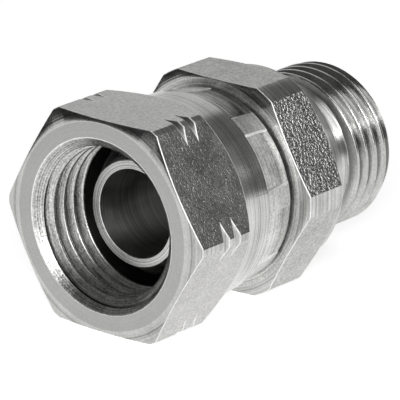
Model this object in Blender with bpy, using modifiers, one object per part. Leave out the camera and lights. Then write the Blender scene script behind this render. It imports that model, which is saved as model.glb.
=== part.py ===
"""Straight threaded adapter: a male stud with a crimped swivel nut, lying on its hexagon flats.

The axis runs along X, from the nut's mouth to the end of the stud. Stations are measured along it from the
nut's front face, and the origin is under the middle of the part, on the surface that it lies on.
"""
import math

import bmesh
import bpy
from mathutils import Matrix

# Hexagons, shared by the nut and the body so that the part lies level
ACROSS_FLATS = 0.027
NUT_CORNER_TRIM = 0.00031
BODY_CORNER_TRIM = 0.00071

# Pipe thread, G 1/2: 14 threads an inch, right-handed, its depth and root flat given in pitches
THREAD_MAJOR_RADIUS = 0.0104775
THREAD_PITCH = 0.0254 / 14
THREAD_DEPTH_RATIO = 0.6403
THREAD_ROOT_RATIO = 1 / 6
THREAD_FLANK_ANGLE = math.radians(27.5)
THREAD_OVERCUT = 0.0001
THREAD_STEPS = 50

# Swivel nut
NUT_LENGTH = 0.02104
NUT_HEX_LENGTH = 0.00957
NUT_THREAD_LENGTH = 0.008
NUT_THREAD_START = 0.001028  # straight below the axis, from the front face to the middle of a groove
NUT_FACE_INSET = 0.00055
NUT_FRONT_CHAMFER_ANGLE = math.radians(17)
NUT_REAR_CHAMFER_ANGLE = math.radians(45)
MOUTH_CHAMFER = 0.00052
RELIEF_CUT = 0.00012
GROOVE_FIRST = 0.00515
GROOVE_SPACING = 0.00205
GROOVE_WIDTH = 0.00106
GROOVE_DEPTH = 0.0008

# Collar behind the nut's hexagon, pressed in by the jaws of a crimping tool
COLLAR_INSET = 0.0005
CRIMP_LENGTH = 0.00474
CRIMP_DRAFT = 0.00055
JAW_COUNT = 8
JAW_ANGLE = math.radians(31)
JAW_DEPTH = 0.00025
JAW_TURN = math.radians(15)  # from straight below the axis to the middle of the first pad
COLLAR_EDGE = 0.0002

# Swivel joint
RUNNING_GAP = 0.0003
SHOULDER_LENGTH = 0.004
SHOULDER_HEIGHT = 0.0013
SHOULDER_CHAMFER = 0.0008
NECK_TO_HEX_GAP = 0.00066

# Nose with its 60 degree cone
NOSE_SETBACK = 0.0064
NOSE_CONE_ANGLE = math.radians(30)
NOSE_CLEARANCE = 0.0007
NOSE_WALL = 0.0011
NOSE_EDGE = 0.00012
BORE_RADIUS = 0.0056

# Body hexagon and the round flange behind it
BODY_HEX_LENGTH = 0.0065
BODY_FACE_INSET = 0.00015
BODY_FRONT_CHAMFER_ANGLE = math.radians(13)
BODY_REAR_CHAMFER_ANGLE = math.radians(30)
FLANGE_INSET = 0.0005
FLANGE_LENGTH = 0.00159

# Male stud
STUD_LENGTH = 0.014
STUD_THREAD_START = 0.000573  # straight below the axis, from the stud's end to the middle of a groove
UNDERCUT_LENGTH = 0.005825
UNDERCUT_CUT = 0.0001
LEAD_IN_ANGLE = math.radians(80)
STUD_END_CHAMFER = 0.00107
SEAT_ANGLE = math.radians(30)
SEAT_RADIUS = 0.0082

TURNING_STEPS = 96
SMOOTH_ANGLE = math.radians(20)
MERGE_DISTANCE = 0.000005

# Sizes that follow from the ones above
half_flats = ACROSS_FLATS / 2
sharp_corner = half_flats / math.cos(math.pi / 6)
thread_depth = THREAD_DEPTH_RATIO * THREAD_PITCH
thread_minor_radius = THREAD_MAJOR_RADIUS - thread_depth
cavity_radius = THREAD_MAJOR_RADIUS + RELIEF_CUT
shoulder_radius = cavity_radius - RUNNING_GAP
neck_radius = shoulder_radius - SHOULDER_HEIGHT
lip_radius = neck_radius + RUNNING_GAP
nose_radius = thread_minor_radius - NOSE_CLEARANCE
nose_face_radius = BORE_RADIUS + NOSE_WALL
collar_radius = half_flats - COLLAR_INSET
flange_radius = half_flats - FLANGE_INSET
undercut_radius = thread_minor_radius - UNDERCUT_CUT

crimp_start = NUT_LENGTH - CRIMP_LENGTH
body_face = NUT_LENGTH + NECK_TO_HEX_GAP
body_hex_end = body_face + BODY_HEX_LENGTH
nut_corner_radius = sharp_corner - NUT_CORNER_TRIM
body_corner_radius = sharp_corner - BODY_CORNER_TRIM
flange_start = body_hex_end + (body_corner_radius - flange_radius) * math.tan(BODY_REAR_CHAMFER_ANGLE)
flange_face = flange_start + FLANGE_LENGTH
undercut_end = flange_face + UNDERCUT_LENGTH
stud_end = flange_face + STUD_LENGTH


def clear_scene():
    for item in list(bpy.data.objects):
        bpy.data.objects.remove(item)


def make_collection(name):
    collection = bpy.data.collections.new(name)
    bpy.context.scene.collection.children.link(collection)
    return collection


def make_material(name, color, metallic, roughness):
    material = bpy.data.materials.new(name)
    material.use_nodes = True
    shader = material.node_tree.nodes["Principled BSDF"]
    shader.inputs["Base Color"].default_value = (*color, 1)
    shader.inputs["Metallic"].default_value = metallic
    shader.inputs["Roughness"].default_value = roughness
    return material


def turned(name, collection, outline):
    """Ring turned about Z from a closed outline of (radius, station), down its outer side and up its bore."""
    mesh = bpy.data.meshes.new(name)
    points = [(radius, 0, station) for radius, station in outline]
    edges = [(index, (index + 1) % len(points)) for index in range(len(points))]
    mesh.from_pydata(points, edges, [])
    item = bpy.data.objects.new(name, mesh)
    collection.objects.link(item)
    screw = item.modifiers.new("turn", "SCREW")
    screw.axis = "Z"
    screw.steps = TURNING_STEPS
    screw.render_steps = TURNING_STEPS
    screw.use_merge_vertices = True
    screw.merge_threshold = 0.000001
    return item


def mesh_object(name, collection, shape):
    mesh = bpy.data.meshes.new(name)
    shape.to_mesh(mesh)
    shape.free()
    item = bpy.data.objects.new(name, mesh)
    collection.objects.link(item)
    return item


def hide_cutter(item):
    item.hide_render = True
    item.display_type = "WIRE"


def hexagon_bar(name, collection, start, end):
    """Hexagonal bar along Z with flats facing X, longer than what it trims."""
    shape = bmesh.new()
    bmesh.ops.create_cone(shape, cap_ends=True, segments=6, radius1=sharp_corner, radius2=sharp_corner,
                          depth=end - start)
    bmesh.ops.translate(shape, vec=(0, 0, (start + end) / 2), verts=shape.verts)
    item = mesh_object(name, collection, shape)
    hide_cutter(item)
    return item


def crimp_jaws(name, collection):
    """Ring of jaws that press tapered pads into the collar, and leave narrow lands between them."""
    shape = bmesh.new()
    reach = collar_radius + JAW_DEPTH
    past_end = NUT_LENGTH + CRIMP_LENGTH
    draft_slope = CRIMP_DRAFT / CRIMP_LENGTH
    front_radius = collar_radius - JAW_DEPTH
    rear_radius = front_radius - draft_slope * (past_end - crimp_start)
    section = [(front_radius, crimp_start), (rear_radius, past_end), (reach, past_end), (reach, crimp_start)]
    jaw_steps = 10
    for index in range(JAW_COUNT):
        center = JAW_TURN + index * 2 * math.pi / JAW_COUNT
        turn = Matrix.Rotation(center - JAW_ANGLE / 2, 4, "Z")
        corners = [shape.verts.new(turn @ Matrix.Translation((radius, 0, station)).to_translation())
                   for radius, station in section]
        face = shape.faces.new(corners)
        bmesh.ops.spin(shape, geom=[face] + face.edges[:] + face.verts[:], angle=JAW_ANGLE, steps=jaw_steps,
                       axis=(0, 0, 1), cent=(0, 0, 0))
    bmesh.ops.recalc_face_normals(shape, faces=shape.faces)
    item = mesh_object(name, collection, shape)
    hide_cutter(item)
    return item


def thread_groove(name, collection, root_radius, open_radius, groove, first, last):
    """Helical groove past the stations first and last, its middle at the station groove below the axis."""
    start = groove - math.ceil((groove - first) / THREAD_PITCH) * THREAD_PITCH
    turns = math.ceil((last - start) / THREAD_PITCH)
    root_half = THREAD_ROOT_RATIO * THREAD_PITCH / 2
    open_half = root_half + abs(open_radius - root_radius) * math.tan(THREAD_FLANK_ANGLE)
    section = [(root_radius, start - root_half), (root_radius, start + root_half),
               (open_radius, start + open_half), (open_radius, start - open_half)]
    shape = bmesh.new()
    face = shape.faces.new([shape.verts.new((radius, 0, station)) for radius, station in section])
    bmesh.ops.spin(shape, geom=[face] + face.edges[:] + face.verts[:], angle=turns * 2 * math.pi,
                   steps=turns * THREAD_STEPS, dvec=(0, 0, THREAD_PITCH / THREAD_STEPS), axis=(0, 0, 1),
                   cent=(0, 0, 0))
    bmesh.ops.recalc_face_normals(shape, faces=shape.faces)
    item = mesh_object(name, collection, shape)
    hide_cutter(item)
    return item


def nut_thread_groove(collection):
    """Internal thread, from before the mouth into the relief behind it."""
    return thread_groove("nut_thread", collection, THREAD_MAJOR_RADIUS, thread_minor_radius - THREAD_OVERCUT,
                         NUT_THREAD_START, -THREAD_PITCH, NUT_THREAD_LENGTH + THREAD_PITCH / 2)


def stud_thread_groove(collection):
    """External thread, from the undercut past the end of the stud."""
    return thread_groove("stud_thread", collection, thread_minor_radius, THREAD_MAJOR_RADIUS + THREAD_OVERCUT,
                         stud_end - STUD_THREAD_START, undercut_end - THREAD_PITCH / 2,
                         stud_end + THREAD_PITCH)


def add_boolean(item, tool, operation):
    modifier = item.modifiers.new(tool.name, "BOOLEAN")
    modifier.operation = operation
    modifier.object = tool
    modifier.solver = "EXACT"


def apply_modifiers(item):
    depsgraph = bpy.context.evaluated_depsgraph_get()
    mesh = bpy.data.meshes.new_from_object(item.evaluated_get(depsgraph))
    shape = bmesh.new()
    shape.from_mesh(mesh)
    bmesh.ops.remove_doubles(shape, verts=shape.verts, dist=MERGE_DISTANCE)
    bmesh.ops.dissolve_degenerate(shape, edges=shape.edges, dist=MERGE_DISTANCE)
    shape.to_mesh(mesh)
    shape.free()
    item.modifiers.clear()
    item.data = mesh
    mesh.name = item.name
    mesh.shade_smooth()
    mesh.set_sharp_from_angle(angle=SMOOTH_ANGLE)


def corner_groove(station):
    """V groove turned into the corners of the nut's hexagon, seen from the rear edge to the front edge."""
    half = GROOVE_WIDTH / 2
    return [(nut_corner_radius, station + half), (nut_corner_radius - GROOVE_DEPTH, station),
            (nut_corner_radius, station - half)]


def nut_outline():
    face_radius = half_flats - NUT_FACE_INSET
    front_edge = (nut_corner_radius - face_radius) * math.tan(NUT_FRONT_CHAMFER_ANGLE)
    collar_start = NUT_HEX_LENGTH + (nut_corner_radius - collar_radius) * math.tan(NUT_REAR_CHAMFER_ANGLE)
    rear_radius = collar_radius - CRIMP_DRAFT
    mouth_radius = THREAD_MAJOR_RADIUS + MOUTH_CHAMFER
    outer = [(rear_radius - COLLAR_EDGE, NUT_LENGTH), (rear_radius, NUT_LENGTH - COLLAR_EDGE),
             (collar_radius, crimp_start), (collar_radius, collar_start), (nut_corner_radius, NUT_HEX_LENGTH)]
    outer += corner_groove(GROOVE_FIRST + GROOVE_SPACING)
    outer += corner_groove(GROOVE_FIRST)
    outer += [(nut_corner_radius, front_edge), (face_radius, 0)]
    mouth_depth = mouth_radius - thread_minor_radius
    inner = [(mouth_radius, 0), (thread_minor_radius, mouth_depth), (thread_minor_radius, NUT_THREAD_LENGTH),
             (cavity_radius, NUT_THREAD_LENGTH), (cavity_radius, crimp_start), (lip_radius, crimp_start),
             (lip_radius, NUT_LENGTH)]
    return outer + inner


def body_outline():
    lead_in_depth = (THREAD_MAJOR_RADIUS - undercut_radius) / math.tan(LEAD_IN_ANGLE)
    body_face_radius = half_flats - BODY_FACE_INSET
    front_edge = (body_corner_radius - body_face_radius) * math.tan(BODY_FRONT_CHAMFER_ANGLE)
    shoulder_rear = crimp_start - RUNNING_GAP
    shoulder_front = shoulder_rear - SHOULDER_LENGTH
    cone_end = NOSE_SETBACK + (nose_radius - nose_face_radius) / math.tan(NOSE_CONE_ANGLE)
    stud = [(THREAD_MAJOR_RADIUS - STUD_END_CHAMFER, stud_end),
            (THREAD_MAJOR_RADIUS, stud_end - STUD_END_CHAMFER),
            (THREAD_MAJOR_RADIUS, undercut_end + lead_in_depth), (undercut_radius, undercut_end),
            (undercut_radius, flange_face)]
    hexagon = [(flange_radius, flange_face), (flange_radius, flange_start),
               (body_corner_radius, body_hex_end), (body_corner_radius, body_face + front_edge),
               (body_face_radius, body_face)]
    swivel = [(neck_radius, body_face), (neck_radius, shoulder_rear), (shoulder_radius, shoulder_rear),
              (shoulder_radius, shoulder_front + SHOULDER_CHAMFER),
              (shoulder_radius - SHOULDER_CHAMFER, shoulder_front), (nose_radius, shoulder_front)]
    tip_radius = nose_face_radius + NOSE_EDGE * math.tan(NOSE_CONE_ANGLE)
    nose = [(nose_radius, cone_end), (tip_radius, NOSE_SETBACK + NOSE_EDGE),
            (nose_face_radius - NOSE_EDGE, NOSE_SETBACK), (BORE_RADIUS + NOSE_EDGE, NOSE_SETBACK)]
    seat_depth = (SEAT_RADIUS - BORE_RADIUS) / math.tan(SEAT_ANGLE)
    bore = [(BORE_RADIUS, NOSE_SETBACK + NOSE_EDGE), (BORE_RADIUS, stud_end - seat_depth),
            (SEAT_RADIUS, stud_end)]
    return stud + hexagon + swivel + nose + bore


def make_axis(collection):
    """Empty on the swivel axis: its Z runs along the world's X, from the mouth to the stud."""
    axis = bpy.data.objects.new("swivel_axis", None)
    collection.objects.link(axis)
    axis.location = (-stud_end / 2, 0, half_flats)
    axis.rotation_euler = (0, math.pi / 2, 0)
    return axis


def main():
    clear_scene()
    parts = make_collection("straight_threaded_adapter")
    cutters = make_collection("cutters")
    axis = make_axis(parts)

    bar = hexagon_bar("hexagon_bar", cutters, -ACROSS_FLATS, stud_end + ACROSS_FLATS)
    jaws = crimp_jaws("crimp_jaws", cutters)
    nut_groove = nut_thread_groove(cutters)
    stud_groove = stud_thread_groove(cutters)

    nut = turned("swivel_nut", parts, nut_outline())
    add_boolean(nut, bar, "INTERSECT")
    add_boolean(nut, jaws, "DIFFERENCE")
    add_boolean(nut, nut_groove, "DIFFERENCE")
    apply_modifiers(nut)
    nut.data.materials.append(make_material("nut_zinc_plated_steel", (0.50, 0.51, 0.52), 1.0, 0.32))

    body = turned("adapter_body", parts, body_outline())
    add_boolean(body, bar, "INTERSECT")
    add_boolean(body, stud_groove, "DIFFERENCE")
    apply_modifiers(body)
    body.data.materials.append(make_material("body_zinc_plated_steel", (0.47, 0.48, 0.49), 1.0, 0.30))

    for item in (bar, jaws, nut_groove, stud_groove, nut, body):
        item.parent = axis


main()
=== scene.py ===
import math

import bmesh
import bpy
from mathutils import Matrix, Vector


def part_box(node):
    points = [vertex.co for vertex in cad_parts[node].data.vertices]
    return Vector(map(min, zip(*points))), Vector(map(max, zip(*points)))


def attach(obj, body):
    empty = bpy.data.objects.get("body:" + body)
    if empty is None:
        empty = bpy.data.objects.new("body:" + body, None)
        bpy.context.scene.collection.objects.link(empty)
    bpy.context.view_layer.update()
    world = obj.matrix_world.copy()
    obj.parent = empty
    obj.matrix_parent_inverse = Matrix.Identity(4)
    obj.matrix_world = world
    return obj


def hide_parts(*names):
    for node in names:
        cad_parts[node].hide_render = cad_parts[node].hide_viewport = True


# Straight adapter in zinc-plated steel: a male stud with a crimped swivel nut.
# The axis runs along X. Sizes are in millimetres, and a station counts from the nut's front face.

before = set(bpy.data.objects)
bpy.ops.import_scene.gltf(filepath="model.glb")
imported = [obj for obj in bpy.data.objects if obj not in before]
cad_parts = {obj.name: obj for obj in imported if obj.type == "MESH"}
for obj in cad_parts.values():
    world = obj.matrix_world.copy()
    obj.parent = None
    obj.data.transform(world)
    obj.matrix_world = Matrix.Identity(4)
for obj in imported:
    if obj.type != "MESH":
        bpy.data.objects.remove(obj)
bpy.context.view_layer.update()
nutLow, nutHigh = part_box("swivel_nut")
axisHeight = (nutLow.z + nutHigh.z) / 2
mouthX = nutLow.x


def mm(value):
    return value * 0.001


def toMm(metres):
    return metres * 1000


def point(radius, station):
    return Vector((mouthX + mm(station), 0, mm(radius)))


def deselectAll():
    if bpy.context.object and bpy.context.object.mode != "OBJECT":
        bpy.ops.object.mode_set(mode="OBJECT")
    bpy.ops.object.select_all(action="DESELECT")


def pick(piece):
    deselectAll()
    piece.select_set(True)
    bpy.context.view_layer.objects.active = piece


# Opens a piece in edit mode with all of it selected
def openEdit(piece):
    pick(piece)
    bpy.ops.object.mode_set(mode="EDIT")
    bpy.ops.mesh.select_all(action="SELECT")


# Turns all faces outwards and leaves edit mode
def closeEdit():
    bpy.ops.mesh.select_all(action="SELECT")
    bpy.ops.mesh.normals_make_consistent(inside=False)
    bpy.ops.object.mode_set(mode="OBJECT")


# A piece in edit mode that is a single vertex, the start of what is extruded and spun from it
def startVertex(name, place):
    deselectAll()
    bpy.ops.mesh.primitive_plane_add(size=mm(1), location=place)
    piece = bpy.context.object
    piece.name = name
    bpy.ops.object.transform_apply(location=True)
    openEdit(piece)
    bpy.ops.mesh.merge(type="CENTER")
    return piece


# Draws a closed line of (radius, station) points above the axis, one extruded vertex after another
def drawOutline(name, outline):
    samePlace = mm(0.0001)
    points = [point(radius, station) for radius, station in outline]
    piece = startVertex(name, points[0])
    for start, end in zip(points, points[1:]):
        bpy.ops.mesh.extrude_region_move(TRANSFORM_OT_translate={"value": end - start})
    shape = bmesh.from_edit_mesh(piece.data)
    for vert in shape.verts:
        toEnds = min((vert.co - points[0]).length, (vert.co - points[-1]).length)
        vert.select_set(toEnds < samePlace)
    shape.select_flush(True)
    bmesh.update_edit_mesh(piece.data)
    bpy.ops.mesh.edge_face_add()
    bpy.ops.object.mode_set(mode="OBJECT")
    return piece


turning = {"steps": 360, "mergeDistance": 0.001}


# Turns an outline once round the axis
def turnPiece(name, outline):
    piece = drawOutline(name, outline)
    openEdit(piece)
    bpy.ops.mesh.spin(steps=turning["steps"], angle=2 * math.pi, center=(0, 0, 0), axis=(1, 0, 0))
    bpy.ops.mesh.select_all(action="SELECT")
    bpy.ops.mesh.remove_doubles(threshold=mm(turning["mergeDistance"]))
    closeEdit()
    return piece


def applyModifier(piece, modifier):
    pick(piece)
    bpy.ops.object.modifier_apply(modifier=modifier.name)


def boolean(piece, tool, operation):
    modifier = piece.modifiers.new("boolean", "BOOLEAN")
    modifier.operation = operation
    modifier.object = tool
    modifier.solver = "MANIFOLD"
    applyModifier(piece, modifier)
    bpy.data.objects.remove(tool)


hexagon = {"acrossFlats": toMm(nutHigh.z - nutLow.z), "barLength": 120}


def hexagonBar():
    deselectAll()
    cornerRadius = hexagon["acrossFlats"] / math.sqrt(3)
    bpy.ops.mesh.primitive_cylinder_add(vertices=6, radius=mm(cornerRadius), depth=mm(hexagon["barLength"]),
                                        rotation=(0, math.pi / 2, 0))
    bpy.ops.object.transform_apply(location=True, rotation=True)
    return bpy.context.object


rounding = {
    "width": 0.09,
    "segments": 3,
    "sharpAngle": 30,  # edges sharper than this are rounded
    "sliverLength": 0.03,  # the Booleans leave edges shorter than this
    "flatAngle": 0.2,  # faces closer than this to one plane become one
    "slot": 3,  # where the edges' own finish stands in the list of finishes, counted from 0
}


# Clears the slivers that the Booleans leave, so that the rounding has its full width
def clearSlivers(piece):
    openEdit(piece)
    bpy.ops.mesh.remove_doubles(threshold=mm(rounding["sliverLength"]))
    bpy.ops.mesh.dissolve_degenerate(threshold=mm(rounding["sliverLength"]))
    bpy.ops.mesh.select_all(action="SELECT")
    bpy.ops.mesh.dissolve_limited(angle_limit=math.radians(rounding["flatAngle"]))
    bpy.ops.object.mode_set(mode="OBJECT")


# Rounds the outer edges; the inner ones stay sharp and dark
def roundEdges(piece):
    clearSlivers(piece)
    shape = bmesh.new()
    shape.from_mesh(piece.data)
    weight = shape.edges.layers.float.new("bevel_weight_edge")
    for edge in shape.edges:
        sharp = edge.is_manifold and edge.calc_face_angle() > math.radians(rounding["sharpAngle"])
        edge[weight] = 1 if sharp and edge.is_convex else 0
    shape.to_mesh(piece.data)
    shape.free()
    for slot in range(rounding["slot"] + 1):
        piece.data.materials.append(None)  # empty slots, so that the rounding can mark its faces
    # The rounding's faces take the edge finish, whose near-white colour paints a highlight along every rounded
    # edge
    modifier = piece.modifiers.new("rounding", "BEVEL")
    modifier.material = rounding["slot"]
    modifier.width = mm(rounding["width"])
    modifier.segments = rounding["segments"]
    modifier.limit_method = "WEIGHT"
    modifier.use_clamp_overlap = False
    applyModifier(piece, modifier)


pipeThread = {
    "pitch": 25.4 / 14,  # G 1/2, 14 threads an inch
    "majorRadius": 10.4775,
    "depth": 1.1615,
    "tipRadius": 0.2492,  # rounding of crests and roots
    "flankAngle": 27.5,
    "arcSteps": 3,  # from the middle of a rounded root or crest to its end
    "stepsPerTurn": 120,
    "mergeDistance": 0.001,
    "turnGap": 0.03,  # half the space between neighbouring turns of the cut
    "overcut": 0.6,  # how far the cut reaches past the crests
    "runIn": 1.5,  # it starts this far before the thread
    "runOut": 1.0,  # and ends this far past it
}


# The groove's section as (along the axis, depth) points, with both flanks, root and half of each crest
def grooveSection():
    half = pipeThread["depth"] / 2
    tip = pipeThread["tipRadius"]
    steps = pipeThread["arcSteps"]
    sweep = math.pi / 2 - math.radians(pipeThread["flankAngle"])
    rootTurns = [sweep * (step / steps) for step in range(-steps, steps + 1)]
    crestTurns = [sweep * (step / steps) for step in range(steps, 0, -1)]
    root = [(tip * math.sin(turn), half - tip + tip * math.cos(turn)) for turn in rootTurns]
    crest = [(pipeThread["pitch"] / 2 - tip * math.sin(turn), -half + tip - tip * math.cos(turn))
             for turn in crestTurns]
    edge = pipeThread["pitch"] / 2 - pipeThread["turnGap"]
    top = -half - pipeThread["overcut"]
    farCrest = [(-x, depth) for x, depth in reversed(crest)]
    return [(-edge, -half)] + farCrest + root + crest + [(edge, -half), (edge, top), (-edge, top)]


# One cut of the pipe thread, wound along the axis. side is 1 for a groove that points to the axis
# and -1 for one that points away from it; center is the groove's station straight above the axis.
def threadGroove(name, side, center, threadStart, threadEnd):
    pitch = pipeThread["pitch"]
    middle = pipeThread["majorRadius"] - pipeThread["depth"] / 2
    first = threadStart - pipeThread["runIn"]
    last = threadEnd + pipeThread["runOut"]
    start = center + math.floor((first - center) / pitch) * pitch
    outline = [(middle - side * depth, start + x) for x, depth in grooveSection()]
    piece = drawOutline(name, outline)
    winding = piece.modifiers.new("winding", "SCREW")
    winding.axis = "X"
    winding.angle = 2 * math.pi
    winding.screw_offset = mm(pitch)
    winding.iterations = math.ceil((last - first) / pitch)
    winding.steps = pipeThread["stepsPerTurn"]
    winding.render_steps = pipeThread["stepsPerTurn"]
    winding.use_merge_vertices = True
    winding.merge_threshold = mm(pipeThread["mergeDistance"])
    applyModifier(piece, winding)
    openEdit(piece)
    bpy.ops.mesh.fill_holes(sides=0)
    closeEdit()
    return piece


nut = {
    "length": 21.04,
    "hexLength": 9.57,
    "faceRadius": 12.95,
    "cornerRadius": 15.278,
    "frontChamferAngle": 17,
    "rearChamferAngle": 45,
    "grooves": (5.15, 7.2),  # stations of the two V grooves that cross the corners
    "grooveWidth": 1.06,
    "grooveDepth": 0.8,
    "mouthRadius": 10.9975,
    "threadLength": 8.0,
    "threadCenter": 3.749,  # station of one of its grooves, straight above the axis
    "cavityRadius": 10.5975,  # the relief behind the thread, which holds the body's shoulder
    "collarRadius": 13.0,
    "crimpStart": 16.3,
    "rearRadius": 12.45,
    "rearRounding": 0.2,
    "rearSteps": 5,
    "lipRadius": 9.5975,  # 0.3 more than in the solids, so that the gap round the neck shows
}
crimpLength = nut["length"] - nut["crimpStart"]
crimpTaper = (nut["collarRadius"] - nut["rearRadius"]) / crimpLength

# The flat pads that the crimping jaws press into the collar
jaws = {
    "count": 8,
    "angle": 31,  # that each pad covers
    "turn": 15,  # from straight above the axis to the middle of the first pad
    "depth": 0.25,
    "rearDepth": 0.12,
    "overshoot": 3,  # how far a jaw reaches past the collar's rear
    "reach": 1,  # and past its surface
    "steps": 12,
    "darkerEvery": 4,  # each fourth pad takes the darker finish
}


# One jaw, drawn from straight above the axis. The walls at its ends lean outwards by about 45 degrees.
def makeJaw():
    taper = crimpTaper + (jaws["rearDepth"] - jaws["depth"]) / crimpLength
    front = nut["collarRadius"] - jaws["depth"]
    back = front - taper * (crimpLength + jaws["overshoot"])
    top = nut["collarRadius"] + jaws["reach"]
    backStation = nut["length"] + jaws["overshoot"]
    jaw = drawOutline("jaw", [(front, nut["crimpStart"]), (back, backStation), (top, backStation),
                              (top, nut["crimpStart"])])
    openEdit(jaw)
    bpy.ops.mesh.edge_face_add()
    sweep = math.radians(jaws["angle"])
    bpy.ops.mesh.spin(steps=jaws["steps"], angle=sweep, center=(0, 0, 0), axis=(1, 0, 0))
    closeEdit()
    lean = (top - front) / top
    nearEnd = jaws["angle"] / jaws["steps"] / 2
    for vert in jaw.data.vertices:
        if vert.co.yz.length > mm(nut["collarRadius"]):
            angle = math.degrees(math.atan2(-vert.co.y, vert.co.z))
            end = (angle > -nearEnd) - (angle < nearEnd - jaws["angle"])
            vert.co.rotate(Matrix.Rotation(end * lean, 3, "X"))
    return jaw


def makeJaws():
    tools = [makeJaw()]
    for index in range(1, jaws["count"]):
        jaw = tools[0].copy()
        jaw.data = tools[0].data.copy()
        bpy.context.collection.objects.link(jaw)
        tools.append(jaw)
    deselectAll()
    for index, jaw in enumerate(tools):
        turn = jaws["turn"] + jaws["angle"] / 2 + index * 360 / jaws["count"]
        jaw.data.transform(Matrix.Rotation(math.radians(turn), 4, "X"))
        jaw.select_set(True)
    bpy.context.view_layer.objects.active = tools[0]
    bpy.ops.object.join()
    return tools[0]


def makeNut():
    corner = nut["cornerRadius"]
    collar = nut["collarRadius"]
    frontEdge = (corner - nut["faceRadius"]) * math.tan(math.radians(nut["frontChamferAngle"]))
    collarStart = nut["hexLength"] + (corner - collar) * math.tan(math.radians(nut["rearChamferAngle"]))
    minor = pipeThread["majorRadius"] - pipeThread["depth"]
    arc = nut["rearRounding"]
    outline = []
    for step in range(nut["rearSteps"] + 1):
        turn = math.pi / 2 * (step / nut["rearSteps"])
        rise = arc * (1 - math.sin(turn)) - crimpTaper * arc * (1 - math.cos(turn))
        outline.append((nut["rearRadius"] - rise, nut["length"] - arc * (1 - math.cos(turn))))
    outline += [(collar, nut["crimpStart"]), (collar, collarStart), (corner, nut["hexLength"])]
    half = nut["grooveWidth"] / 2
    bottom = corner - nut["grooveDepth"]
    for station in reversed(nut["grooves"]):
        outline += [(corner, station + half), (bottom, station), (corner, station - half)]
    outline += [(corner, frontEdge), (nut["faceRadius"], 0), (nut["mouthRadius"], 0),
                (minor, nut["mouthRadius"] - minor), (minor, nut["threadLength"]),
                (nut["cavityRadius"], nut["threadLength"]), (nut["cavityRadius"], nut["crimpStart"]),
                (nut["lipRadius"], nut["crimpStart"]), (nut["lipRadius"], nut["length"])]
    piece = turnPiece("swivelNut", outline)
    boolean(piece, hexagonBar(), "INTERSECT")
    boolean(piece, makeJaws(), "DIFFERENCE")
    roundEdges(piece)
    boolean(piece, threadGroove("nutThread", -1, nut["threadCenter"], 0, nut["threadLength"]), "DIFFERENCE")
    return piece


print("swivel nut")
swivelNut = makeNut()

body = {
    "noseStart": 6.4,
    "noseFaceRadius": 6.7,
    "noseRadius": 8.616,
    "noseConeAngle": 30,
    "boreRadius": 5.6,
    "shoulderFront": 12.0,
    "shoulderRear": 16.0,
    "shoulderRadius": 10.2975,
    "shoulderChamfer": 0.8,
    "neckRadius": 8.9975,
    "hexFace": 21.55,
    "hexEnd": 28.2,
    "frontEdge": 0.353,
    "faceRadius": 13.35,
    "cornerRadius": 14.878,
    "flangeStart": 29.285,
    "flangeFace": 30.875,
    "flangeRadius": 13.0,
    "undercutRadius": 9.1,
    "undercutRise": 0.42,  # towards the thread it opens this far, in a slight cone
    "undercutSlope": 2.0,  # the cone's length
    "undercutEnd": 36.70,
    "leadInEnd": 36.92,
    "threadCenter": 37.952,  # as for the nut
    "studEnd": 44.875,
    "studEndChamfer": 1.07,
    "seatRadius": 8.2,
    "seatAngle": 30,
}


def makeBody():
    major = pipeThread["majorRadius"]
    chamfer = body["studEndChamfer"]
    shoulder = body["shoulderRadius"]
    edge = body["shoulderChamfer"]
    undercut = body["undercutRadius"]
    noseLength = (body["noseRadius"] - body["noseFaceRadius"]) / math.tan(math.radians(body["noseConeAngle"]))
    seatDepth = (body["seatRadius"] - body["boreRadius"]) / math.tan(math.radians(body["seatAngle"]))
    outline = [(major - chamfer, body["studEnd"]), (major, body["studEnd"] - chamfer),
               (major, body["leadInEnd"]), (undercut + body["undercutRise"], body["undercutEnd"]),
               (undercut, body["undercutEnd"] - body["undercutSlope"]), (undercut, body["flangeFace"]),
               (body["flangeRadius"], body["flangeFace"]), (body["flangeRadius"], body["flangeStart"]),
               (body["cornerRadius"], body["hexEnd"]),
               (body["cornerRadius"], body["hexFace"] + body["frontEdge"]),
               (body["faceRadius"], body["hexFace"]), (body["neckRadius"], body["hexFace"]),
               (body["neckRadius"], body["shoulderRear"]), (shoulder, body["shoulderRear"]),
               (shoulder, body["shoulderFront"] + edge), (shoulder - edge, body["shoulderFront"]),
               (body["noseRadius"], body["shoulderFront"]),
               (body["noseRadius"], body["noseStart"] + noseLength),
               (body["noseFaceRadius"], body["noseStart"]), (body["boreRadius"], body["noseStart"]),
               (body["boreRadius"], body["studEnd"] - seatDepth), (body["seatRadius"], body["studEnd"])]
    piece = turnPiece("adapterBody", outline)
    boolean(piece, hexagonBar(), "INTERSECT")
    roundEdges(piece)
    groove = threadGroove("studThread", 1, body["threadCenter"], body["undercutEnd"], body["studEnd"])
    boolean(piece, groove, "DIFFERENCE")
    return piece


print("adapter body")
adapterBody = makeBody()


# Adds one shader node: settings are its properties, inputs its values or the sockets that feed it
def addNode(tree, kind, settings=None, inputs=None):
    node = tree.nodes.new(kind)
    for name, value in (settings or {}).items():
        setattr(node, name, value)
    for name, value in (inputs or {}).items():
        if isinstance(value, bpy.types.NodeSocket):
            tree.links.new(value, node.inputs[name])
        else:
            node.inputs[name].default_value = value
    return node


def toLinear(hexColor):
    channels = [int(hexColor[start:start + 2], 16) / 255 for start in (1, 3, 5)]
    return tuple(c / 12.92 if c <= 0.04045 else ((c + 0.055) / 1.055) ** 2.4 for c in channels) + (1,)


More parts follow.
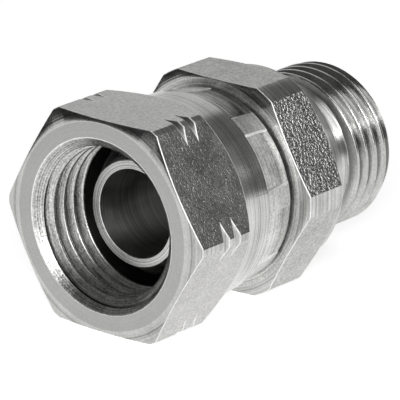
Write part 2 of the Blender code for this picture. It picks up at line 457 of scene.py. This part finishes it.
# Object coordinates in millimetres from the axis: the place, the station and the distance from the axis
def axisCoordinates(tree):
    place = addNode(tree, "ShaderNodeTexCoord").outputs["Object"]
    centred = addNode(tree, "ShaderNodeMapping", {}, {"Vector": place, "Scale": (toMm(1), toMm(1), toMm(1)),
                                                      "Location": (0, 0, -toMm(axisHeight))}).outputs[0]
    parts = addNode(tree, "ShaderNodeSeparateXYZ", {}, {"Vector": centred})
    across = addNode(tree, "ShaderNodeCombineXYZ", {}, {"Y": parts.outputs["Y"], "Z": parts.outputs["Z"]})
    radius = addNode(tree, "ShaderNodeVectorMath", {"operation": "LENGTH"}, {0: across.outputs[0]})
    return centred, parts.outputs["X"], radius.outputs["Value"]


noise = {
    "detail": 2,
    "lineRoughness": 0.5,
    "grainRoughness": 0.6,
    "cloudRoughness": 0.5,
    "usualRange": (0.3, 0.7),  # most of a noise lies in it
}
tangentTurn = 0.25  # a quarter turn, so that highlights stretch across the turned rings


# Zinc-plated steel. lineTone, grainTone and cloudTone are how far the rings of the lathe, the grain and the
# clouds of the plating shift the shade between dark and light, around tone. Between rootRadii a thread goes
# from paintedRootShade, a painted shade that darkens its roots, to that shade.
def makeFinish(values):
    material = bpy.data.materials.new(values["name"])
    material.use_nodes = True
    tree = material.node_tree
    shader = tree.nodes["Principled BSDF"]
    shader.inputs["Metallic"].default_value = 1
    place, station, radius = axisCoordinates(tree)

    rings = addNode(tree, "ShaderNodeCombineXYZ", {}, {"X": station, "Y": radius}).outputs[0]
    patterns = {}
    for name, source, size in (("line", rings, "lineSpacing"), ("grain", place, "grainSize"),
                               ("cloud", place, "cloudSize")):
        pattern = addNode(tree, "ShaderNodeTexNoise", {}, {"Vector": source, "Scale": 1 / values[size],
                                                           "Detail": noise["detail"],
                                                           "Roughness": noise[name + "Roughness"]})
        patterns[name] = pattern.outputs[0]
    shade = values["tone"] - sum(values[name + "Tone"] for name in patterns) / 2
    for name, pattern in patterns.items():
        shade = addNode(tree, "ShaderNodeMath", {"operation": "MULTIPLY_ADD"},
                        {0: pattern, 1: values[name + "Tone"], 2: shade}).outputs[0]
    colors = addNode(tree, "ShaderNodeValToRGB", {}, {"Fac": shade})
    colors.color_ramp.elements[0].color = toLinear(values["dark"])
    colors.color_ramp.elements[1].color = toLinear(values["light"])
    color = colors.outputs[0]
    # A thread's roots get a painted shade: the colour darkens towards the root radius
    if "paintedRootShade" in values:
        low, high = values["rootRadii"]
        crest = addNode(tree, "ShaderNodeMapRange", {"interpolation_type": "SMOOTHSTEP"},
                        {"Value": radius, "From Min": low, "From Max": high})
        shaded = addNode(tree, "ShaderNodeMix", {"data_type": "RGBA"},
                         {"Factor": crest.outputs[0], 6: toLinear(values["paintedRootShade"]), 7: color})
        color = shaded.outputs[2]  # 6, 7 and 2 are this node's sockets for colours
    tree.links.new(color, shader.inputs["Base Color"])

    smooth, rough = values["roughness"]
    low, high = noise["usualRange"]
    roughness = addNode(tree, "ShaderNodeMapRange", {}, {"Value": patterns["cloud"], "From Min": low,
                                                         "From Max": high, "To Min": smooth, "To Max": rough})
    tree.links.new(roughness.outputs[0], shader.inputs["Roughness"])

    height = addNode(tree, "ShaderNodeMath", {"operation": "MULTIPLY"},
                     {0: patterns["line"], 1: values["lineHeight"]})
    relief = addNode(tree, "ShaderNodeMath", {"operation": "MULTIPLY_ADD"},
                     {0: patterns["grain"], 1: values["grainHeight"], 2: height.outputs[0]})
    bump = addNode(tree, "ShaderNodeBump", {},
                   {"Height": relief.outputs[0], "Strength": 1, "Distance": mm(1)})
    tree.links.new(bump.outputs[0], shader.inputs["Normal"])
    shader.inputs["Anisotropic"].default_value = values["anisotropy"]
    shader.inputs["Anisotropic Rotation"].default_value = tangentTurn
    tangent = addNode(tree, "ShaderNodeTangent", {"direction_type": "RADIAL", "axis": "X"})
    tree.links.new(tangent.outputs[0], shader.inputs["Tangent"])


# All of it is mild steel under bright zinc plate, and each finish is one way that its surface was made.
# Spacings, sizes and heights are in millimetres. A lathe really leaves rings about 0.1 apart, and plate
# has a grain of about 0.05: the rings are drawn up to three and the grain up to seven times as coarse,
# so that they show. The forged grain and the clouds have about their real size.
finishes = {
    # Turned on a lathe: fine rings round the axis, and light that streaks across them
    "turned": {
        "name": "turnedZincPlatedSteel", "dark": "#848482", "light": "#f4f4f2", "roughness": (0.26, 0.34),
        "tone": 0.5, "anisotropy": 0.75, "lineSpacing": 0.18, "lineTone": 1.8, "lineHeight": 0.0012,
        "grainSize": 0.3, "grainTone": 0.3, "grainHeight": 0.001, "cloudSize": 4, "cloudTone": 0.6,
    },
    # The nut's flats, cold drawn: an even grey skin with fine bright specks
    "nutFlat": {
        "name": "drawnZincPlatedSteel", "dark": "#949492", "light": "#cecdcc", "roughness": (0.14, 0.2),
        "tone": 0.5, "anisotropy": 0.0, "lineSpacing": 0.5, "lineTone": 0.0, "lineHeight": 0.0,
        "grainSize": 0.34, "grainTone": 1.5, "grainHeight": 0.026, "cloudSize": 3, "cloudTone": 0.5,
    },
    # The body's flats, forged: a coarse grain that glitters
    "bodyFlat": {
        "name": "forgedZincPlatedSteel", "dark": "#767674", "light": "#d0d0ce", "roughness": (0.12, 0.17),
        "tone": 0.5, "anisotropy": 0.0, "lineSpacing": 0.5, "lineTone": 0.0, "lineHeight": 0.0,
        "grainSize": 0.38, "grainTone": 1.2, "grainHeight": 0.105, "cloudSize": 3, "cloudTone": 0.5,
    },
    # Edges rounded by the bevel: near-white colour, a painted highlight along every edge
    "edge": {
        "name": "paintedHighlightEdgeZincPlatedSteel", "dark": "#d0d0ce", "light": "#ffffff", "roughness": (0.45, 0.55),
        "tone": 0.5, "anisotropy": 0.0, "lineSpacing": 0.25, "lineTone": 0.5, "lineHeight": 0.002,
        "grainSize": 0.5, "grainTone": 1.0, "grainHeight": 0.004, "cloudSize": 1, "cloudTone": 0.8,
    },
    # Pads pressed by the crimping jaws, and the body's wide faces: satin, with faint rings
    "jaw": {
        "name": "pressedZincPlatedSteel", "dark": "#949492", "light": "#f4f4f2", "roughness": (0.38, 0.46),
        "tone": 0.55, "anisotropy": 0.0, "lineSpacing": 0.22, "lineTone": 2.1, "lineHeight": 0.003,
        "grainSize": 0.3, "grainTone": 1.4, "grainHeight": 0.03, "cloudSize": 2, "cloudTone": 0.6,
    },
    # Drilled and reamed bore: darker, with soft rings
    "bore": {
        "name": "boredZincPlatedSteel", "dark": "#767674", "light": "#b4b4b2", "roughness": (0.3, 0.4),
        "tone": 0.45, "anisotropy": 0.8, "lineSpacing": 0.15, "lineTone": 1.6, "lineHeight": 0.001,
        "grainSize": 0.3, "grainTone": 0.3, "grainHeight": 0.002, "cloudSize": 3, "cloudTone": 0.4,
    },
    # Stud thread, cut by a die: smooth mirroring flanks, and a painted shade that greys the roots
    "thread": {
        "name": "threadedZincPlatedSteel", "dark": "#8a8a88", "light": "#e0e0de", "roughness": (0.14, 0.2),
        "tone": 0.5, "anisotropy": 0.0, "lineSpacing": 0.2, "lineTone": 0.5, "lineHeight": 0.001,
        "grainSize": 0.3, "grainTone": 0.8, "grainHeight": 0.008, "cloudSize": 2, "cloudTone": 0.5,
        "paintedRootShade": "#8c8c8c", "rootRadii": (9.4, 10.2),
    },
    # Relief inside the nut: nearly black colour, a painted shade for that deep recess
    "cavity": {
        "name": "paintedShadeRecessZincPlatedSteel", "dark": "#2c2c2a", "light": "#5a5a58", "roughness": (0.35, 0.45),
        "tone": 0.45, "anisotropy": 0.8, "lineSpacing": 0.15, "lineTone": 1.0, "lineHeight": 0.001,
        "grainSize": 0.3, "grainTone": 0.3, "grainHeight": 0.002, "cloudSize": 3, "cloudTone": 0.4,
    },
    # Nut thread, tapped: torn and grainy crests, and a painted shade that darkens the roots nearly to black
    "innerThread": {
        "name": "tappedZincPlatedSteel", "dark": "#6e6e6c", "light": "#ececea", "roughness": (0.26, 0.36),
        "tone": 0.5, "anisotropy": 0.0, "lineSpacing": 0.16, "lineTone": 1.8, "lineHeight": 0.004,
        "grainSize": 0.25, "grainTone": 1.4, "grainHeight": 0.035, "cloudSize": 2, "cloudTone": 0.5,
        "paintedRootShade": "#1c1c1c", "rootRadii": (10.42, 10.1),
    },
    # Chamfers in front of the hexagons, turned with a coarse feed: rings that show one by one
    "chamfer": {
        "name": "chamferedZincPlatedSteel", "dark": "#7c7c7a", "light": "#dcdcda", "roughness": (0.18, 0.24),
        "tone": 0.5, "anisotropy": 0.3, "lineSpacing": 0.25, "lineTone": 1.5, "lineHeight": 0.02,
        "grainSize": 0.3, "grainTone": 0.4, "grainHeight": 0.001, "cloudSize": 3, "cloudTone": 0.4,
    },
    # The nut's front, faced with a fine feed: even and pale, with hardly a ring
    "faced": {
        "name": "facedZincPlatedSteel", "dark": "#949492", "light": "#bcbcba", "roughness": (0.24, 0.3),
        "tone": 0.5, "anisotropy": 0.0, "lineSpacing": 0.35, "lineTone": 0.4, "lineHeight": 0.0006,
        "grainSize": 0.3, "grainTone": 0.4, "grainHeight": 0.001, "cloudSize": 3, "cloudTone": 0.4,
    },
    # Corners of the hexagons, trimmed on the lathe: narrow bands that mirror the room
    "corner": {
        "name": "cornerZincPlatedSteel", "dark": "#848482", "light": "#e4e4e2", "roughness": (0.12, 0.18),
        "tone": 0.5, "anisotropy": 0.0, "lineSpacing": 0.35, "lineTone": 1.2, "lineHeight": 0.001,
        "grainSize": 0.3, "grainTone": 0.4, "grainHeight": 0.001, "cloudSize": 3, "cloudTone": 0.6,
    },
    # The collar's level part, turned smooth: crisp dark and light bands
    "collar": {
        "name": "fineTurnedZincPlatedSteel", "dark": "#848482", "light": "#e8e8e6", "roughness": (0.16, 0.24),
        "tone": 0.5, "anisotropy": 0.3, "lineSpacing": 0.18, "lineTone": 1.8, "lineHeight": 0.0012,
        "grainSize": 0.3, "grainTone": 0.3, "grainHeight": 0.001, "cloudSize": 4, "cloudTone": 0.6,
    },
    # End walls of the pads: near-white colour, a painted highlight along each wall
    "ridge": {
        "name": "paintedHighlightWallZincPlatedSteel", "dark": "#e0e0de", "light": "#ffffff", "roughness": (0.32, 0.4),
        "tone": 0.5, "anisotropy": 0.0, "lineSpacing": 0.3, "lineTone": 0.6, "lineHeight": 0.002,
        "grainSize": 0.3, "grainTone": 0.8, "grainHeight": 0.01, "cloudSize": 2, "cloudTone": 0.6,
    },
    # Every fourth pad, the first one above among them: darker than the others, smooth, with dark streaks round
    # the axis
    "darkerJaw": {
        "name": "streakedZincPlatedSteel", "dark": "#4c4c4a", "light": "#d4d4d2", "roughness": (0.22, 0.3),
        "tone": 0.5, "anisotropy": 0.4, "lineSpacing": 0.3, "lineTone": 2.0, "lineHeight": 0.003,
        "grainSize": 0.3, "grainTone": 0.6, "grainHeight": 0.006, "cloudSize": 2, "cloudTone": 0.6,
    },
    # The collar between the pads, bent inwards by the crimping: pale satin
    "crimp": {
        "name": "crimpedZincPlatedSteel", "dark": "#a4a4a2", "light": "#f8f8f6", "roughness": (0.34, 0.42),
        "tone": 0.5, "anisotropy": 0.2, "lineSpacing": 0.25, "lineTone": 0.9, "lineHeight": 0.002,
        "grainSize": 0.3, "grainTone": 1.4, "grainHeight": 0.03, "cloudSize": 2, "cloudTone": 0.6,
    },
    # Countersunk mouth of the nut: as torn as the thread, and bright where it faces the light
    "mouth": {
        "name": "countersunkZincPlatedSteel", "dark": "#686866", "light": "#e8e8e6", "roughness": (0.26, 0.34),
        "tone": 0.45, "anisotropy": 0.0, "lineSpacing": 0.22, "lineTone": 1.8, "lineHeight": 0.004,
        "grainSize": 0.25, "grainTone": 1.4, "grainHeight": 0.035, "cloudSize": 2, "cloudTone": 0.5,
    },
}

# How faces are told apart: distances in millimetres, and parts of a face's normal
sorting = {
    "flatGap": 0.01,
    "boreGap": 0.02,
    "smallGap": 0.05,
    "wideGap": 0.1,
    "padGap": 0.08,  # at least this far below the collar's taper in a pad
    "frontDepth": 1,  # the nut's front face lies before this station
    "wideFaceRadius": 10,  # the hexagon's and the flange's faces lie outside it on the body
    "flatTilt": 0.01,  # at most, along the axis, in a flat
    "levelTilt": 0.05,  # the same in the level collar
    "cornerTilt": 0.3,  # and in a trimmed corner
    "chamferTilt": 0.9,  # at least, against the axis, in a front chamfer
    "squareTilt": 0.98,  # at least, along the axis, in a face square to it
    "wallTilt": 0.9,  # less than this, outwards, in the end wall of a pad
}
halfFlats = hexagon["acrossFlats"] / 2


# Where a face lies and which way it points. planeDistance is how far its plane passes from the axis.
def measureFace(piece, face):
    center = face.center
    corners = [piece.data.vertices[index].co for index in face.vertices]
    return {
        "station": toMm(center.x - mouthX),
        "radius": toMm(sum(math.hypot(corner.y, corner.z) for corner in corners) / len(corners)),
        "centerRadius": toMm(math.hypot(center.y, center.z)),
        "angle": math.degrees(math.atan2(-center.y, center.z)),
        "along": face.normal.x,
        "planeDistance": toMm(face.normal.y * center.y + face.normal.z * center.z),
    }


# The crimped taper of the collar: pads, the walls at their ends, and what is left between them
def sortCrimp(at):
    fromFirst = at["angle"] - jaws["turn"] + jaws["angle"] / 2 + 360
    index, turn = divmod(fromFirst, 360 / jaws["count"])
    surface = nut["collarRadius"] - (at["station"] - nut["crimpStart"]) * crimpTaper
    # the pads' end walls take the ridge finish, painted near white as a highlight
    if abs(at["planeDistance"]) < sorting["wallTilt"] * at["centerRadius"]:
        return "ridge"
    if turn < jaws["angle"] and at["radius"] < surface - sorting["padGap"]:
        return "jaw" if index % jaws["darkerEvery"] else "darkerJaw"
    return "crimp"


# What both pieces have outside: chamfers, trimmed corners, and turned surfaces everywhere else
def sortOutside(at):
    if at["along"] < -sorting["chamferTilt"] and at["radius"] > nut["faceRadius"] - sorting["wideGap"]:
        return "chamfer"
    if at["radius"] > halfFlats + sorting["smallGap"] and abs(at["along"]) < sorting["cornerTilt"]:
        return "corner"
    return "turned"


def sortNut(at):
    station = at["station"]
    radius = at["radius"]
    if abs(at["along"]) > sorting["squareTilt"]:
        return "faced" if station < sorting["frontDepth"] else "turned"
    if abs(radius + station - nut["mouthRadius"]) < sorting["smallGap"]:
        return "mouth"
    if station < nut["threadLength"] and radius < nut["mouthRadius"] - sorting["flatGap"]:
        return "innerThread"
    # the relief behind the thread takes the cavity finish, painted nearly black as shade
    if station > nut["threadLength"] and radius < nut["cavityRadius"] + sorting["wideGap"]:
        return "cavity"
    # the collar's rounded rear edge takes the edge finish and its painted highlight
    if station > nut["length"] - nut["rearRounding"] and radius > nut["rearRadius"] - nut["rearRounding"]:
        return "edge"
    if station > nut["crimpStart"] and radius > nut["mouthRadius"]:
        return sortCrimp(at)
    onCollar = abs(radius - nut["collarRadius"]) < sorting["smallGap"]
    if station > nut["hexLength"] and onCollar and abs(at["along"]) < sorting["levelTilt"]:
        return "collar"
    return sortOutside(at)


def sortBody(at):
    if abs(at["along"]) > sorting["squareTilt"]:
        return "jaw" if at["radius"] > sorting["wideFaceRadius"] else "turned"
    if at["station"] > body["undercutEnd"] and at["radius"] > body["undercutRadius"] - sorting["wideGap"]:
        return "thread"
    if at["radius"] < body["boreRadius"] + sorting["boreGap"]:
        return "bore"
    return sortOutside(at)


# Gives each face its finish by where it lies; sortRest sorts what isn't a flat or a rounded edge
def assignFinishes(piece, flatFinish, sortRest):
    names = list(finishes)
    chosen = []
    for face in piece.data.polygons:
        at = measureFace(piece, face)
        onPlane = abs(at["planeDistance"] - halfFlats) < sorting["flatGap"]
        isFlat = abs(at["along"]) < sorting["flatTilt"] and at["radius"] > halfFlats - sorting["flatGap"]
        if face.material_index == rounding["slot"]:
            chosen.append(rounding["slot"])
        else:
            chosen.append(names.index(flatFinish if onPlane and isFlat else sortRest(at)))
    piece.data.materials.clear()
    for values in finishes.values():
        piece.data.materials.append(bpy.data.materials[values["name"]])
    for face, slot in zip(piece.data.polygons, chosen):
        face.material_index = slot


smoothAngle = 35  # edges under this many degrees are shaded smooth


def finishPiece(piece, bodyName, node):
    piece.data.transform(Matrix.Translation((0, 0, axisHeight)))
    pick(piece)
    bpy.ops.object.shade_smooth_by_angle(angle=math.radians(smoothAngle))
    weighted = piece.modifiers.new("normals", "WEIGHTED_NORMAL")
    weighted.keep_sharp = True
    applyModifier(piece, weighted)
    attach(piece, bodyName)
    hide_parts(node)
    print(piece.name, len(piece.data.polygons), "faces")


print("finishes")
for values in finishes.values():
    makeFinish(values)
assignFinishes(swivelNut, "nutFlat", sortNut)
assignFinishes(adapterBody, "bodyFlat", sortBody)
finishPiece(swivelNut, "nut", "swivel_nut")
finishPiece(adapterBody, "adapter", "adapter_body")

view = {
    "aimAt": (-3.593, 0, 12.004),
    "distance": 496.5,  # from that point to the camera
    "heading": 50.912,  # from +Y towards +X
    "elevation": 19.062,
    "roll": -0.513,
    "lens": 363.0,
    "sensorWidth": 36,
    "clipEnd": 10000,
}


def makeCamera():
    heading = math.radians(view["heading"])
    elevation = math.radians(view["elevation"])
    forward = Vector((math.sin(heading) * math.cos(elevation), math.cos(heading) * math.cos(elevation),
                      -math.sin(elevation)))
    camera = bpy.data.objects.new("camera", bpy.data.cameras.new("camera"))
    bpy.context.scene.collection.objects.link(camera)
    camera.data.lens = view["lens"]
    camera.data.sensor_width = view["sensorWidth"]
    camera.data.clip_end = mm(view["clipEnd"])
    roll = Matrix.Rotation(math.radians(-view["roll"]), 4, "Z").to_quaternion()
    camera.rotation_euler = (forward.to_track_quat("-Z", "Y") @ roll).to_euler()
    camera.location = Vector([mm(value) for value in view["aimAt"]]) - forward * mm(view["distance"])
    bpy.context.scene.camera = camera


# Lengths in the studio are in metres
floor = {
    "size": 40,
    "color": "#f6f6f6",
    "glow": 0.625,  # only seen, directly or mirrored: it lights nothing
}
flag = {
    "color": "#484848",
    "distance": 0.16,
    "height": 0.05,
    "turns": (108, 162),  # where it starts and ends, from +X towards +Y
    "steps": 24,
}
mattRoughness = 0.9


def makeMatt(name, color):
    material = bpy.data.materials.new(name)
    material.use_nodes = True
    shader = material.node_tree.nodes["Principled BSDF"]
    shader.inputs["Base Color"].default_value = toLinear(color)
    shader.inputs["Roughness"].default_value = mattRoughness
    return material, shader


# A white table of matt laminate: it keeps the shadow, and seen directly or mirrored it is pure white
def makeFloor():
    deselectAll()
    bpy.ops.mesh.primitive_plane_add(size=floor["size"])
    table = bpy.context.object
    table.name = "floor"
    material, shader = makeMatt("whiteTable", floor["color"])
    shader.inputs["Specular IOR Level"].default_value = 0
    tree = material.node_tree
    path = addNode(tree, "ShaderNodeLightPath")
    seen = path.outputs["Is Camera Ray"]
    for ray in ("Is Glossy Ray", "Is Transmission Ray"):
        either = addNode(tree, "ShaderNodeMath", {"operation": "MAXIMUM"}, {0: seen, 1: path.outputs[ray]})
        seen = either.outputs[0]
    glow = addNode(tree, "ShaderNodeMath", {"operation": "MULTIPLY"}, {0: seen, 1: floor["glow"]})
    shader.inputs["Emission Color"].default_value = (1, 1, 1, 1)
    tree.links.new(glow.outputs[0], shader.inputs["Emission Strength"])
    table.data.materials.append(material)


# A card of matt black board stands behind on the left, out of the camera's sight, and darkens what the
# metal mirrors there
def makeFlag():
    card = startVertex("blackFlag", (flag["distance"], 0, 0))
    bpy.ops.mesh.extrude_region_move(TRANSFORM_OT_translate={"value": (0, 0, flag["height"])})
    bpy.ops.mesh.select_all(action="SELECT")
    start, end = flag["turns"]
    bpy.ops.mesh.spin(steps=flag["steps"], angle=-math.radians(end - start), center=(0, 0, 0), axis=(0, 0, 1))
    bpy.ops.object.mode_set(mode="OBJECT")
    card.data.transform(Matrix.Rotation(math.radians(start), 4, "Z"))
    material, shader = makeMatt("blackCard", flag["color"])
    card.data.materials.append(material)
    card.visible_camera = False
    card.visible_shadow = False
    card.visible_diffuse = False


# Each blend in the room: the axis that it runs along, where it starts and ends on a sphere of radius 1,
# and its value before and after
room = {
    "left": ("Y", 0.09, 0.22, 0, 1),
    "back": ("X", -0.2, 0.1, 0, 1),
    "notRight": ("X", 0.86, 0.78, 0, 1),
    "high": ("Z", 0.2, 0.35, 0, 0.08),
    "dark": ("X", -0.5, -0.2, 0.03, 0.16),
}
backdropTone = 0.7


# The room is dark on the right and in front, with a pale backdrop behind on the left
def makeWorld():
    world = bpy.data.worlds.new("studio")
    bpy.context.scene.world = world
    world.use_nodes = True
    tree = world.node_tree
    direction = addNode(tree, "ShaderNodeTexCoord").outputs["Generated"]
    parts = addNode(tree, "ShaderNodeSeparateXYZ", {}, {"Vector": direction})
    blends = {}
    for name, (axis, start, end, before, after) in room.items():
        blend = addNode(tree, "ShaderNodeMapRange", {"interpolation_type": "SMOOTHSTEP"},
                        {"Value": parts.outputs[axis], "From Min": start, "From Max": end,
                         "To Min": before, "To Max": after})
        blends[name] = blend.outputs[0]
    pale = blends["back"]
    for operation, name in (("MULTIPLY", "notRight"), ("MAXIMUM", "high"), ("MULTIPLY", "left")):
        joined = addNode(tree, "ShaderNodeMath", {"operation": operation}, {0: pale, 1: blends[name]})
        pale = joined.outputs[0]
    tone = addNode(tree, "ShaderNodeMapRange", {}, {"Value": pale, "To Min": blends["dark"],
                                                    "To Max": backdropTone})
    tree.links.new(tone.outputs[0], tree.nodes["Background"].inputs["Color"])


keyDirection = (-0.71, -0.57, 0.42)
# Softboxes, by the direction that they stand in as seen from the object
lamps = {
    "keySoftbox": {"direction": keyDirection, "distance": 0.8, "size": (0.7, 0.7), "power": 2.5},
    "smallSoftbox": {"direction": keyDirection, "distance": 0.78, "size": (0.2, 0.2), "power": 1.7},
    "rimSoftbox": {"direction": (0.36, -0.64, 0.76), "distance": 0.72, "size": (0.3, 0.7), "power": 1.5},
    "stripSoftbox": {"direction": (0.2, -0.85, 0.48), "distance": 0.7, "size": (0.6, 0.05), "power": 0.5},
}
metalOnly = ("rimSoftbox", "stripSoftbox")  # these make highlights, and light no matt surface


def makeLamp(name, direction, distance, size, power):
    away = Vector(direction).normalized()
    lamp = bpy.data.objects.new(name, bpy.data.lights.new(name, "AREA"))
    bpy.context.scene.collection.objects.link(lamp)
    lamp.data.shape = "RECTANGLE"
    lamp.data.size, lamp.data.size_y = size
    lamp.data.energy = power
    lamp.location = away * distance + Vector((0, 0, axisHeight))
    lamp.rotation_euler = (-away).to_track_quat("-Z", "Y").to_euler()
    lamp.visible_diffuse = name not in metalOnly


print("camera, floor and light")
makeCamera()
makeFloor()
makeFlag()
makeWorld()
for name, values in lamps.items():
    makeLamp(name, **values)

bpy.context.scene.view_settings.view_transform = "Standard"
